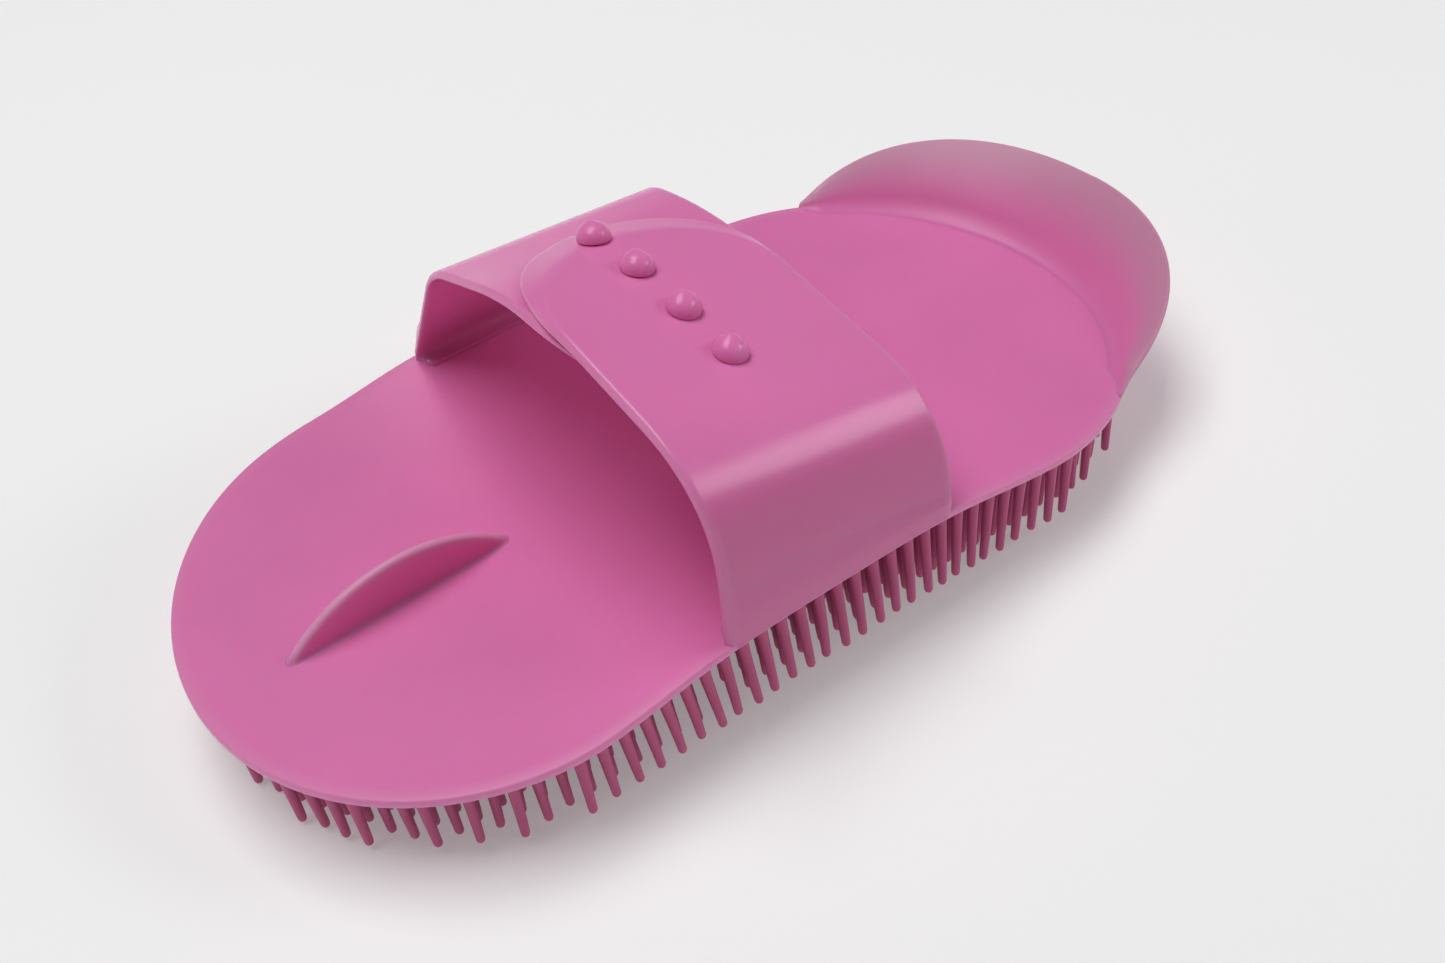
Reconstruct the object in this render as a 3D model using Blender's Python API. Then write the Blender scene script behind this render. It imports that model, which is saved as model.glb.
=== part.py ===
"""A flexible plastic curry comb for grooming a horse.

A dished oval deck carries rows of teeth underneath. On top it has a finger rib at the wrist-side end, a flared
guard at the other end, and a hand strap made of two flaps: the outer flap folds over the inner one and buttons
on to four studs. Metres, +Z up, X along the comb towards the guard, and the origin at the bottom centre.

The shape is worked out in deck coordinates, whose origin is the middle of the deck's top face, and one empty
shifts the whole comb so that the lowest teeth stand on Z = 0.
"""

import math

import bmesh
import bpy
from mathutils import Matrix, Vector

MM = 0.001

# Gap between neighbouring pieces.
GAP = 0.3 * MM

# Deck: straight sides between two half ellipses.
DECK_THICKNESS = 1.8 * MM
DECK_HALF_WIDTH = 50.2 * MM
WRIST_END_CENTRE = -47.4 * MM
WRIST_END_LENGTH = 47.5 * MM
GUARD_END_CENTRE = 50.4 * MM
GUARD_END_LENGTH = 49.8 * MM
DECK_ROWS = 14
DECK_COLUMNS = 20
# Curvatures in 1/m: the ends droop, the sides rise, and the strap pulls the waist up further.
ARCH = 0.33
DISH = 0.76
WAIST_DISH = 1.6
WAIST_REACH = 39 * MM

# Teeth: rows along X, staggered by half a pitch.
ROW_COUNT = 25
ROW_PITCH = 3.91 * MM
TOOTH_PITCH = 4.06 * MM
TOOTH_LENGTH = 15.4 * MM
TOOTH_ROOT = 2.2 * MM
TOOTH_TIP = 1.5 * MM
ROW_STRIP = 0.8 * MM
TOOTH_INSET = 2.7 * MM
TEETH_PER_TOP_POINT = 5

# Finger rib: a circular arc standing on the deck's centre line.
RIB_CENTRE_X = -57.2 * MM
RIB_HALF_LENGTH = 22.0 * MM
RIB_HEIGHT = 9.4 * MM
RIB_THICKNESS = 2.0 * MM
RIB_STEPS = 14
RIB_SHOULDER = 0.86
RIB_CROWN_WIDTH = 0.4

# Guard: a band that flares up and out from the deck's rounded end.
GUARD_RISE = 13.7 * MM
GUARD_LEAN = math.radians(46)
GUARD_SPAN_RIGHT = math.radians(56)
GUARD_SPAN_LEFT = math.radians(66)
GUARD_ROUNDNESS_RIGHT = 2.3
GUARD_ROUNDNESS_LEFT = 2.8
# How softly the guard's free edge runs out into the rim.
GUARD_TAIL_RIGHT = 2.4 * MM
GUARD_TAIL_LEFT = 1.2 * MM
GUARD_FOOT = 1.6 * MM
GUARD_EDGE = 1.0 * MM
GUARD_STEPS = 24
GUARD_SHARES = (0.0, 0.3, 0.65, 1.0)
# The guard starts a little steeper than its lean.
GUARD_STEEP_FOOT = 0.75
# The rib stops just short of where its height would be nothing, and the guard close to the ends of its span.
BLUNT_END = 0.96
GUARD_END_RIGHT = 1.04
GUARD_END_LEFT = 0.995

# Strap: both flaps follow one line across the comb. Each corner below is (y, z) and how far back from the corner
# its rounding starts, at the strap's wrist-side edge and at its guard-side edge.
STRAP_HALF_WIDTH = 24.5 * MM
STRAP_THICKNESS = 1.4 * MM
STRAP_SAG = 1.5 * MM
FLAP_GAP = 0.5 * MM
RIGHT_ROOT = ((-48.4, 6.9), (-48.4, 6.9))
RIGHT_SHOULDER = ((-46.8, 34.2, 17.0), (-46.4, 25.1, 16.5))
CREST = ((2.0, 45.0, 16.0), (12.0, 35.5, 16.0))
LEFT_SHOULDER = ((35.6, 33.8, 6.5), (36.0, 31.0, 6.5))
LEFT_ROOT = ((49.8, 6.9), (49.8, 6.9))
# Places along the strap line: whole numbers are the ends of its seven stretches, counted from the right root.
RIGHT_HINGE = 1.5
LEFT_HINGE = 5.5
LINE_END = 7.0
FLAP_SECTIONS = 10
TONGUE_STEPS = 14
WALL_STEPS = 8
NOSE_DEGREES = (12, 50)

# Rounded free ends of the two flaps: the y of the tip, and of the two corners where the rounding begins.
OUTER_TIP_Y = 22.5 * MM
OUTER_CORNER_Y = (-8.0 * MM, -2.0 * MM)
INNER_TIP_Y = -31.0 * MM
INNER_CORNER_Y = (-1.0 * MM, -1.0 * MM)

# Studs on the inner flap, and the holes in the outer flap that pass over them.
STUD_COUNT = 4
STUD_X = -1.0 * MM
STUD_FIRST_Y = -21.6 * MM
STUD_PITCH = 12.5 * MM
STUD_NECK_RADIUS = 1.9 * MM
STUD_KNOB_RADIUS = 3.3 * MM
STUD_KNOB_START = 2.0 * MM
STUD_KNOB_HEIGHT = 3.4 * MM
HOLE_CLEARANCE = 0.45 * MM
HOLE_SHIFT_RIGHT = 1.3 * MM
HOLE_SHIFT_LEFT = 1.0 * MM
ROUND_SIDES = 12
DOME_DEGREES = (0, 25, 50, 70)

DECK_PINK = (0.61, 0.16, 0.37)
STRAP_PINK = (0.64, 0.17, 0.38)
TOOTH_PINK = (0.42, 0.08, 0.22)
GUARD_PINK = (0.55, 0.17, 0.34)


def clear_scene():
    for obj in list(bpy.data.objects):
        bpy.data.objects.remove(obj, do_unlink=True)


def mix(a, b, share):
    return a + (b - a) * share


def plastic(name, color, roughness):
    """A satin plastic."""
    material = bpy.data.materials.new(name)
    material.use_nodes = True
    shader = material.node_tree.nodes["Principled BSDF"]
    shader.inputs["Base Color"].default_value = (*color, 1.0)
    shader.inputs["Roughness"].default_value = roughness
    shader.inputs["Metallic"].default_value = 0.0
    return material


def add_object(name, bm, color, roughness, parent, smooth=True):
    """Turns a finished bmesh into a named object with its own material."""
    bmesh.ops.recalc_face_normals(bm, faces=bm.faces)
    mesh = bpy.data.meshes.new(name)
    bm.to_mesh(mesh)
    bm.free()
    obj = bpy.data.objects.new(name, mesh)
    bpy.context.scene.collection.objects.link(obj)
    mesh.materials.append(plastic(name + "_plastic", color, roughness))
    if smooth:
        mesh.shade_smooth()
        mesh.set_sharp_from_angle(angle=math.radians(35))
    obj.parent = parent
    return obj


def shell(upper, lower):
    """A closed solid between two equal grids of points."""
    bm = bmesh.new()
    top = [[bm.verts.new(p) for p in row] for row in upper]
    bottom = [[bm.verts.new(p) for p in row] for row in lower]
    rows = len(top)
    columns = len(top[0])
    for i in range(rows - 1):
        for j in range(columns - 1):
            bm.faces.new((top[i][j], top[i + 1][j], top[i + 1][j + 1], top[i][j + 1]))
            bm.faces.new((bottom[i][j], bottom[i][j + 1], bottom[i + 1][j + 1], bottom[i + 1][j]))
    rim = [(i, 0) for i in range(rows)]
    rim += [(rows - 1, j) for j in range(1, columns)]
    rim += [(i, columns - 1) for i in range(rows - 2, -1, -1)]
    rim += [(0, j) for j in range(columns - 2, 0, -1)]
    for (i, j), (k, m) in zip(rim, rim[1:] + rim[:1]):
        bm.faces.new((top[i][j], bottom[i][j], bottom[k][m], top[k][m]))
    return bm


# Deck


def deck_top(x, y):
    """Height of the deck's top face."""
    waist = WAIST_DISH * math.exp(-((x / WAIST_REACH) ** 4))
    return -ARCH * x * x + (DISH + waist) * y * y


def deck_underside(x, y):
    return deck_top(x, y) - DECK_THICKNESS


def deck_normal(x, y):
    """Unit vector square to the deck, pointing up."""
    step = 0.1 * MM
    slope_x = (deck_top(x + step, y) - deck_top(x - step, y)) / (2 * step)
    slope_y = (deck_top(x, y + step) - deck_top(x, y - step)) / (2 * step)
    return Vector((-slope_x, -slope_y, 1.0)).normalized()


def deck_ends(y, inset=0.0):
    """The x where the outline, moved inwards by inset, starts and ends at this y."""
    share = math.sqrt(max(0.0, 1 - (y / (DECK_HALF_WIDTH - inset)) ** 2))
    start = WRIST_END_CENTRE - (WRIST_END_LENGTH - inset) * share
    end = GUARD_END_CENTRE + (GUARD_END_LENGTH - inset) * share
    return start, end


def build_deck(parent):
    rows = DECK_ROWS
    columns = DECK_COLUMNS
    top = []
    bottom = []
    for i in range(rows + 1):
        y = DECK_HALF_WIDTH * math.sin(math.pi * (i / rows - 0.5))
        start, end = deck_ends(y)
        xs = [mix(start, end, 0.5 - 0.5 * math.cos(math.pi * j / columns)) for j in range(columns + 1)]
        top.append([(x, y, deck_top(x, y)) for x in xs])
        bottom.append([(x, y, deck_underside(x, y)) for x in xs])
    add_object("deck", shell(top, bottom), DECK_PINK, 0.42, parent)


# Teeth


def row_places(number):
    """The y of a row, and the x of each tooth in it."""
    y = (number - (ROW_COUNT - 1) / 2) * ROW_PITCH
    start, end = deck_ends(y, TOOTH_INSET)
    stagger = 0.5 * (number % 2)
    first = math.ceil(start / TOOTH_PITCH - stagger)
    last = math.floor(end / TOOTH_PITCH - stagger)
    return y, [(i + stagger) * TOOTH_PITCH for i in range(first, last + 1)]


def tooth_tip(x, y):
    """The middle of the tip of the tooth rooted at x, y: teeth stand square to the deck."""
    root = Vector((x, y, deck_underside(x, y)))
    return root - deck_normal(x, y) * TOOTH_LENGTH


def row_side(y, xs, side):
    """The outline of one side of a row: down and up each tooth, then back along the top."""
    edge = y + side * TOOTH_ROOT / 2
    points = []
    for x in xs:
        tip = tooth_tip(x, y)
        left = x - TOOTH_ROOT / 2
        right = x + TOOTH_ROOT / 2
        tip_y = tip.y + side * TOOTH_TIP / 2
        points.append((left, edge, deck_underside(left, edge) - GAP - ROW_STRIP))
        points.append((tip.x - TOOTH_TIP / 2, tip_y, tip.z))
        points.append((tip.x + TOOTH_TIP / 2, tip_y, tip.z))
        points.append((right, edge, deck_underside(right, edge) - GAP - ROW_STRIP))
    along = [xs[-1] + TOOTH_ROOT / 2]
    along += xs[-TEETH_PER_TOP_POINT:0:-TEETH_PER_TOP_POINT]
    along += [xs[0] - TOOTH_ROOT / 2]
    points += [(x, edge, deck_underside(x, edge) - GAP) for x in along]
    return points


def build_tooth_row(number, parent):
    y, xs = row_places(number)
    bm = bmesh.new()
    front = [bm.verts.new(p) for p in row_side(y, xs, -1)]
    back = [bm.verts.new(p) for p in row_side(y, xs, 1)]
    bm.faces.new(front)
    bm.faces.new(back[::-1])
    for i, vert in enumerate(front):
        bm.faces.new((back[i - 1], front[i - 1], vert, back[i]))
    add_object(f"tooth_row_{number + 1:02d}", bm, TOOTH_PINK, 0.45, parent, smooth=False)


def lowest_tooth():
    """How far below the middle of the deck's top face the lowest tooth reaches."""
    heights = []
    for number in range(ROW_COUNT):
        y, xs = row_places(number)
        heights += [tooth_tip(x, y).z for x in xs]
    return -min(heights)


# Rib and guard


def build_finger_rib(parent):
    """An upright blade whose top edge is an arc of a circle."""
    radius = (RIB_HALF_LENGTH**2 + RIB_HEIGHT**2) / (2 * RIB_HEIGHT)
    upper = []
    lower = []
    for i in range(RIB_STEPS + 1):
        along = mix(-1.0, 1.0, i / RIB_STEPS) * RIB_HALF_LENGTH * BLUNT_END
        height = math.sqrt(radius**2 - along**2) - (radius - RIB_HEIGHT)
        x = RIB_CENTRE_X + along
        base = deck_top(x, 0.0) + GAP
        crown = base + height
        shoulder = mix(base, crown, RIB_SHOULDER)
        side = RIB_THICKNESS / 2
        ys = (-side, -side * RIB_CROWN_WIDTH, side * RIB_CROWN_WIDTH, side)
        upper.append([(x, y, z) for y, z in zip(ys, (shoulder, crown, crown, shoulder))])
        lower.append([(x, y, base) for y in ys])
    add_object("finger_rib", shell(upper, lower), DECK_PINK, 0.42, parent)


def guard_rise(angle):
    """Height of the guard's free edge above the deck, at an angle round the deck's rounded end."""
    if angle > 0:
        rise = GUARD_RISE * (1 - (angle / GUARD_SPAN_LEFT) ** GUARD_ROUNDNESS_LEFT)
        return (rise + math.hypot(rise, GUARD_TAIL_LEFT)) / 2
    rise = GUARD_RISE * (1 - (-angle / GUARD_SPAN_RIGHT) ** GUARD_ROUNDNESS_RIGHT)
    return (rise + math.hypot(rise, GUARD_TAIL_RIGHT)) / 2


def guard_reach():
    """How far the guard's free edge stands out beyond the deck's end."""
    return GUARD_RISE / math.tan(GUARD_LEAN)


def build_guard(parent):
    """The band's section leans out from the deck's rim, and its height fades to nothing at both ends."""
    inner = []
    outer = []
    for i in range(GUARD_STEPS + 1):
        angle = mix(-GUARD_SPAN_RIGHT * GUARD_END_RIGHT, GUARD_SPAN_LEFT * GUARD_END_LEFT, i / GUARD_STEPS)
        out = Vector((math.cos(angle), math.sin(angle)))
        rim_x = GUARD_END_CENTRE + GUARD_END_LENGTH * out.x
        rim_y = DECK_HALF_WIDTH * out.y
        base = deck_top(rim_x, rim_y) + GAP
        rise = guard_rise(angle)
        inner_row = []
        outer_row = []
        for share in GUARD_SHARES:
            height = rise * share
            reach = height / math.tan(GUARD_LEAN) * mix(GUARD_STEEP_FOOT, 1.0, share)
            thickness = mix(GUARD_FOOT, GUARD_EDGE, share)
            wall_in = reach - thickness
            inner_row.append((rim_x + out.x * wall_in, rim_y + out.y * wall_in, base + height))
            outer_row.append((rim_x + out.x * reach, rim_y + out.y * reach, base + height))
        inner.append(inner_row)
        outer.append(outer_row)
    add_object("guard_lip", shell(inner, outer), GUARD_PINK, 0.42, parent)


# Strap


def strap_corner(pair, share):
    """One corner of the strap line, between its wrist-side and its guard-side place."""
    return [mix(a, b, share) * MM for a, b in zip(*pair)]


def strap_line(x, place):
    """The point and the tangent of the strap line at this x, as (y, z) vectors, before the sag."""
    share = (x / STRAP_HALF_WIDTH + 1) / 2
    root = Vector(strap_corner(RIGHT_ROOT, share))
    end = Vector(strap_corner(LEFT_ROOT, share))
    corners = [strap_corner(pair, share) for pair in (RIGHT_SHOULDER, CREST, LEFT_SHOULDER)]
    tops = [Vector(corner[:2]) for corner in corners]
    line = [root, *tops, end]
    stretch = min(int(place), 6)
    along = place - stretch
    number = (stretch + 1) // 2
    if stretch % 2:
        corner = line[number]
        start = corner + (line[number - 1] - corner).normalized() * corners[number - 1][2]
        stop = corner + (line[number + 1] - corner).normalized() * corners[number - 1][2]
        point = start * (1 - along) ** 2 + corner * 2 * along * (1 - along) + stop * along**2
        tangent = (corner - start) * (1 - along) + (stop - corner) * along
        return point, tangent.normalized()
    start = line[number]
    stop = line[number + 1]
    direction = (stop - start).normalized()
    if number > 0:
        start = start + direction * corners[number - 1][2]
    if number < 3:
        stop = stop - direction * corners[number][2]
    return start.lerp(stop, along), direction


def place_at_y(x, y):
    """Where along the strap line it crosses this y."""
    low = 0.0
    high = LINE_END
    for _ in range(30):
        middle = (low + high) / 2
        if strap_line(x, middle)[0].x < y:
            low = middle
        else:
            high = middle
    return (low + high) / 2


def strap_point(x, place):
    """The strap's middle surface: the strap line, hanging a little lower halfway between the strap's edges."""
    point = strap_line(x, place)[0]
    right = strap_line(x, RIGHT_HINGE)[0].x
    left = strap_line(x, LEFT_HINGE)[0].x
    across = min(1.0, max(0.0, (point.x - right) / (left - right)))
    sag = STRAP_SAG * (1 - (x / STRAP_HALF_WIDTH) ** 2) * math.sin(math.pi * across) ** 2
    return Vector((x, point.x, point.y - sag))


def strap_frame(x, place, lift):
    """A point that stands lift outside the strap's middle surface, with the tangent and the outward normal."""
    step = 0.2 * MM
    across = strap_point(x + step, place) - strap_point(x - step, place)
    tangent = strap_line(x, place)[1]
    tangent = Vector((0.0, tangent.x, tangent.y))
    normal = across.cross(tangent).normalized()
    return strap_point(x, place) + normal * lift, tangent, normal


def flap_end_y(x, tip, corners):
    """The y of a flap's rounded free end at this x."""
    corner = mix(corners[0], corners[1], (x / STRAP_HALF_WIDTH + 1) / 2)
    return corner + (tip - corner) * math.sqrt(max(0.0, 1 - (x / STRAP_HALF_WIDTH) ** 2))


def flap_xs():
    """Sections across the strap, closer together towards its two edges."""
    return [
        -STRAP_HALF_WIDTH * math.cos(math.pi * i / FLAP_SECTIONS) for i in range(FLAP_SECTIONS + 1)
    ]


def nose(frame, direction):
    """Rounds the end of a flap about its hinge line: pairs of upper and lower points."""
    point, tangent, normal = frame
    half = STRAP_THICKNESS / 2
    pairs = []
    for degrees in NOSE_DEGREES:
        angle = math.radians(degrees)
        back = point - tangent * direction * half * math.cos(angle)
        pairs.append((back + normal * half * math.sin(angle), back - normal * half * math.sin(angle)))
    return pairs


def build_flap(name, lift, start, stop_of_x, steps, parent):
    """A strip of the strap, from the hinge line where its rounded end lies to another place on the line."""
    half = STRAP_THICKNESS / 2
    upper = []
    lower = []
    for x in flap_xs():
        stop = stop_of_x(x)
        direction = 1 if stop > start else -1
        pairs = nose(strap_frame(x, start, lift), direction)
        for i in range(steps + 1):
            point, _, normal = strap_frame(x, mix(start, stop, i / steps), lift)
            pairs.append((point + normal * half, point - normal * half))
        upper.append([pair[0] for pair in pairs])
        lower.append([pair[1] for pair in pairs])
    return add_object(name, shell(upper, lower), STRAP_PINK, 0.36, parent)


def tongue_end(tip, corners):
    """The place on the strap line where a tongue's rounded free end lies, as a function of x."""

    def at(x):
        return place_at_y(x, flap_end_y(x, tip, corners))

    return at


def shortened(place, length):
    """A place on the strap line that is this length short of a hinge, towards the root."""

    def at(x):
        step = 0.02
        hinge = strap_line(x, place)[0]
        near = strap_line(x, place - step)[0]
        return place - length / (hinge - near).length * step

    return at


def outer_lift():
    return FLAP_GAP / 2 + STRAP_THICKNESS / 2


def build_strap(parents):
    """Two walls and two tongues, and the holes in the outer tongue."""
    lift = outer_lift()
    wall_gap = STRAP_THICKNESS / 2 + GAP * 1.5
    build_flap("outer_flap_wall", lift, 0.0, shortened(RIGHT_HINGE, wall_gap), WALL_STEPS,
               parents["outer_wall"])
    outer = build_flap("outer_flap_tongue", lift, RIGHT_HINGE, tongue_end(OUTER_TIP_Y, OUTER_CORNER_Y),
                       TONGUE_STEPS, parents["outer_tongue"])
    build_flap("inner_flap_wall", -lift, LINE_END, shortened(LEFT_HINGE, -wall_gap), WALL_STEPS,
               parents["inner_wall"])
    build_flap("inner_flap_tongue", -lift, LEFT_HINGE, tongue_end(INNER_TIP_Y, INNER_CORNER_Y),
               TONGUE_STEPS, parents["inner_tongue"])
    for number in range(STUD_COUNT):
        cut_stud_hole(outer, number)


def stud_frame(number):
    """The point on the inner tongue's outer face where a stud stands, and its axis."""
    y = STUD_FIRST_Y + number * STUD_PITCH
    point, tangent, normal = strap_frame(STUD_X, place_at_y(STUD_X, y), -FLAP_GAP / 2)
    return point, tangent, normal


def cut_stud_hole(tongue, number):
    """A round hole, lengthened along the flap so that the knob passes as the flap swings."""
    point, tangent, normal = stud_frame(number)
    radius = STUD_KNOB_RADIUS + HOLE_CLEARANCE
    across = tangent.cross(normal)
    depth = STRAP_THICKNESS * 2
    rings = []
    bm = bmesh.new()
    for side in (-1, 1):
        ring = []
        for i in range(ROUND_SIDES):
            angle = 2 * math.pi * (i + 0.5) / ROUND_SIDES
            shift = HOLE_SHIFT_LEFT if math.sin(angle) > 0 else -HOLE_SHIFT_RIGHT
            along = radius * math.sin(angle) + shift
            place = point + tangent * along + across * radius * math.cos(angle) + normal * side * depth
            ring.append(bm.verts.new(place))
        rings.append(ring)
    bm.faces.new(rings[0][::-1])
    bm.faces.new(rings[1])
    for i in range(ROUND_SIDES):
        bm.faces.new((rings[0][i - 1], rings[0][i], rings[1][i], rings[1][i - 1]))
    cutter = add_object(f"stud_hole_cutter_{number + 1}", bm, STRAP_PINK, 0.4, tongue.parent, smooth=False)
    cutter.hide_render = True
    cutter.display_type = "WIRE"
    cut = tongue.modifiers.new(f"stud_hole_{number + 1}", "BOOLEAN")
    cut.operation = "DIFFERENCE"
    cut.solver = "EXACT"
    cut.object = cutter


def build_stud(number, parent):
    """A neck with a domed knob, turned about the flap's normal."""
    point, tangent, normal = stud_frame(number)
    across = tangent.cross(normal)
    dome = [
        (STUD_KNOB_RADIUS * math.cos(angle), STUD_KNOB_START + STUD_KNOB_HEIGHT * math.sin(angle))
        for angle in map(math.radians, DOME_DEGREES)
    ]
    profile = [(STUD_NECK_RADIUS, GAP), (STUD_NECK_RADIUS, STUD_KNOB_START), *dome]
    bm = bmesh.new()
    rings = []
    for radius, height in profile:
        ring = []
        for i in range(ROUND_SIDES):
            angle = 2 * math.pi * i / ROUND_SIDES
            out = across * math.cos(angle) + tangent * math.sin(angle)
            ring.append(bm.verts.new(point + normal * height + out * radius))
        rings.append(ring)
    top = bm.verts.new(point + normal * (STUD_KNOB_START + STUD_KNOB_HEIGHT))
    bm.faces.new(rings[0][::-1])
    for low, high in zip(rings, rings[1:]):
        for i in range(ROUND_SIDES):
            bm.faces.new((low[i - 1], low[i], high[i], high[i - 1]))
    for i in range(ROUND_SIDES):
        bm.faces.new((rings[-1][i - 1], rings[-1][i], top))
    add_object(f"stud_{number + 1}", bm, STRAP_PINK, 0.36, parent)


def empty_at(name, location, parent):
    """An empty with its origin on a hinge axis. Children keep deck coordinates through its inverse."""
    obj = bpy.data.objects.new(name, None)
    obj.location = location
    obj.parent = parent
    bpy.context.scene.collection.objects.link(obj)
    return obj


def build_hinge_empties(comb):
    """One empty for each flap body, with its origin at the middle of its hinge line."""
    lift = outer_lift()
    places = {
        "outer_wall": (0.0, lift),
        "outer_tongue": (RIGHT_HINGE, lift),
        "inner_wall": (LINE_END, -lift),
        "inner_tongue": (LEFT_HINGE, -lift),
    }
    return {
        name: empty_at(name + "_hinge", strap_frame(0.0, place, offset)[0], comb)
        for name, (place, offset) in places.items()
    }


def settle_children(hinges):
    """Puts each flap mesh's origin on its hinge while the mesh stays where it is."""
    for hinge in hinges.values():
        shift = Vector(hinge.location)
        for child in hinge.children:
            child.data.transform(Matrix.Translation(-shift))


def build_comb():
    clear_scene()
    start = WRIST_END_CENTRE - WRIST_END_LENGTH
    end = GUARD_END_CENTRE + GUARD_END_LENGTH + guard_reach()
    comb = empty_at("comb", (-(start + end) / 2, 0.0, lowest_tooth()), None)
    build_deck(comb)
    for number in range(ROW_COUNT):
        build_tooth_row(number, comb)
    build_finger_rib(comb)
    build_guard(comb)
    hinges = build_hinge_empties(comb)
    build_strap(hinges)
    for number in range(STUD_COUNT):
        build_stud(number, hinges["inner_tongue"])
    settle_children(hinges)


build_comb()
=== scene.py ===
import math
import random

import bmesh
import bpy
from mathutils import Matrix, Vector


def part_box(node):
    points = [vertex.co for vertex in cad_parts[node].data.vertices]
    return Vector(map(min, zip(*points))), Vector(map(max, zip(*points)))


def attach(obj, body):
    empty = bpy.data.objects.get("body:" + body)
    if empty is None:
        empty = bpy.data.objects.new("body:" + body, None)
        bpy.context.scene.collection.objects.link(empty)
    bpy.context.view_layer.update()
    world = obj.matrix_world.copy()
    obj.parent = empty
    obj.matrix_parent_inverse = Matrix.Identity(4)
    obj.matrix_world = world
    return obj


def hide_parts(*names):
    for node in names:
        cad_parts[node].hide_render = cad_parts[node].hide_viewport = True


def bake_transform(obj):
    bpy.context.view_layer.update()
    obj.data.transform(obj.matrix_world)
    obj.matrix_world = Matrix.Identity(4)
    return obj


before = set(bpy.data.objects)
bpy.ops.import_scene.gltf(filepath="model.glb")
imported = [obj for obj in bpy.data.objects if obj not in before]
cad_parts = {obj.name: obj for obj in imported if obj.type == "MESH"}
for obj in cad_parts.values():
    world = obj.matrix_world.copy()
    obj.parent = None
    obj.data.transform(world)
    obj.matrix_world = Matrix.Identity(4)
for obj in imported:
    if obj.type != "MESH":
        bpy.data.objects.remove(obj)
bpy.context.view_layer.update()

# The looks of a soft plastic curry comb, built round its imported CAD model.
#
# Shapes are worked out in deck coordinates, in metres. The origin lies on the deck's top face under
# the middle of the hand strap. X runs along the comb towards the guard, and the strap crosses the
# comb along Y: right is -Y and left is +Y. Each finished mesh is then moved by SHIFT into the frame
# of the CAD model.

MM = 0.001
# Vertices closer together than this, in m, become one.
WELD = 1e-7

# Deck: straight sides between two half ellipses. Its top face falls along X by ARCH x^2 and rises
# along Y by DISH y^2, and by more than that at the waist. These three are in 1/m.
DECK_THICKNESS = 1.8 * MM
DECK_HALF_WIDTH = 50.2 * MM
WRIST_END_CENTRE = -47.4 * MM
WRIST_END_LENGTH = 47.5 * MM
GUARD_END_CENTRE = 50.4 * MM
GUARD_END_LENGTH = 49.8 * MM
ARCH = 0.33
DISH = 0.76
WAIST_DISH = 1.6
WAIST_REACH = 39 * MM
RIM_RADIUS = 0.5 * MM
RIM_STEPS = 4
# Painted highlight: the deck's top face is painted paler along its rim, though no thinner there.
RIM_PAINTED_HIGHLIGHT = 0.7
RIM_PAINTED_HIGHLIGHT_WIDTH = 2.5 * MM
END_STEPS = 44
SIDE_STEPS = 40
DECK_RINGS = 22

# Teeth: rows along X, staggered by half a pitch.
ROW_COUNT = 25
ROW_PITCH = 3.91 * MM
TOOTH_PITCH = 4.06 * MM
TOOTH_LENGTH = 15.4 * MM
TOOTH_INSET = 2.7 * MM
TOOTH_ROOT_RADIUS = 1.12 * MM
TOOTH_TIP_RADIUS = 0.8 * MM
TOOTH_FLARE = 0.45 * MM
TOOTH_FLARE_LENGTH = 0.9 * MM
TOOTH_SIDES = 10
TOOTH_SHARES = (0.0, 0.05, 0.12, 0.3, 0.55, 0.8)
TOOTH_TIP_DEGREES = (0, 35, 65)
TOOTH_BEND = 0.35 * MM
TOOTH_SEED = 7

# Finger rib. The blade's two ends thin to a share of its full thickness.
RIB_CENTRE_X = -57.2 * MM
RIB_HALF_LENGTH = 22.0 * MM
RIB_HEIGHT = 9.4 * MM
RIB_FOOT_HALF = 1.1 * MM
RIB_CROWN_HALF = 0.85 * MM
RIB_FILLET = 0.7 * MM
RIB_FILLET_FADE = 0.3 * MM
RIB_SUNK_SHARE = 0.8
RIB_END_TAPER = 2.5 * MM
RIB_END_THICKNESS = 0.15
RIB_SECTIONS = 72
RIB_SHARES = (0.0, 0.02, 0.06, 0.12, 0.2, 0.35, 0.5, 0.7, 0.85, 0.92, 0.96, 0.985, 1.0)
# Painted highlight: the rib's crown is painted paler, partly for its thinner top and partly as a
# highlight.
RIB_HIGHLIGHT_DEPTH = 2.2 * MM
RIB_HIGHLIGHT_START = 2 * MM

# Guard: an arch that spans these angles round the deck's end. At each end it keeps a low tail,
# which overruns the arch and then sinks into the rim.
GUARD_RISE = 13.7 * MM
GUARD_LEAN = math.radians(46)
GUARD_SPAN_RIGHT = math.radians(56)
GUARD_SPAN_LEFT = math.radians(66)
GUARD_ROUNDNESS_RIGHT = 2.3
GUARD_ROUNDNESS_LEFT = 2.8
GUARD_TAIL_RIGHT = 2.4 * MM
GUARD_TAIL_LEFT = 1.2 * MM
GUARD_OVERRUN_RIGHT = math.radians(7)
GUARD_OVERRUN_LEFT = math.radians(1.5)
GUARD_FOOT = 1.6 * MM
GUARD_EDGE = 0.9 * MM
GUARD_FILLET = 2.2 * MM
# Where the guard is low, its foot, edge and fillet have a least size that grows with the rise.
GUARD_FOOT_GROWTH = (0.3 * MM, 0.5)
GUARD_EDGE_GROWTH = (0.2 * MM, 0.4)
GUARD_FILLET_GROWTH = (0.3 * MM, 0.7)
GUARD_STEEP_FOOT = 0.75
GUARD_SECTIONS = 150
GUARD_SHARES = (0.0, 0.1, 0.25, 0.4, 0.55, 0.7, 0.85)
GUARD_CAP_STEPS = 8
GUARD_CURVE_STEPS = 10
# How far above the deck's face the guard's fillet has its corner and its end.
GUARD_CORNER_LIFT = 0.02 * MM
GUARD_STOP_LIFT = 0.015 * MM
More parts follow.
